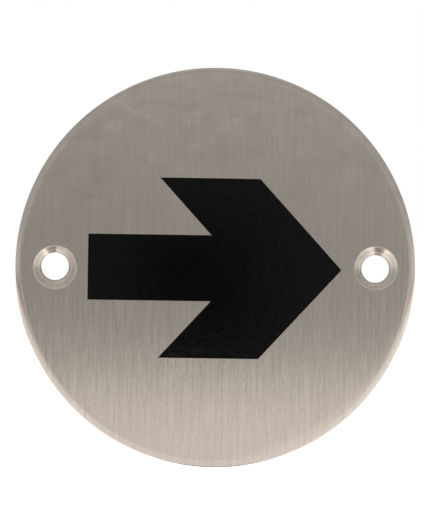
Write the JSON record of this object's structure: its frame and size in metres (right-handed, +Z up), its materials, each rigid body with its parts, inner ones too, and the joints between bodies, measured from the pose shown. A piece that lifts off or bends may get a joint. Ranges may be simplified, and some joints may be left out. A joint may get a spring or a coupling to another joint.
{
  "type": "direction sign",
  "caption": "Small round brushed steel wall and door sign with a black right-pointing arrow and countersunk holes for screws at its left and right edges.",
  "frame": {"origin": "centre of the back face, where the sign lies against the wall", "axes": "+Z up, +Y into the wall, the face looks along -Y and the arrow points along +X"},
  "size_m": [0.075, 0.0015, 0.075],
  "materials": {
    "brushed_plate": "satin, brushed straight up and down, polished rolled edge",
    "black_enamel": "gloss black stove enamel, filled to just under the face"
  },
  "bodies": {
    "root": {"sign_plate": "brushed_plate", "arrow_enamel": "black_enamel"}
  },
  "joints": []
}
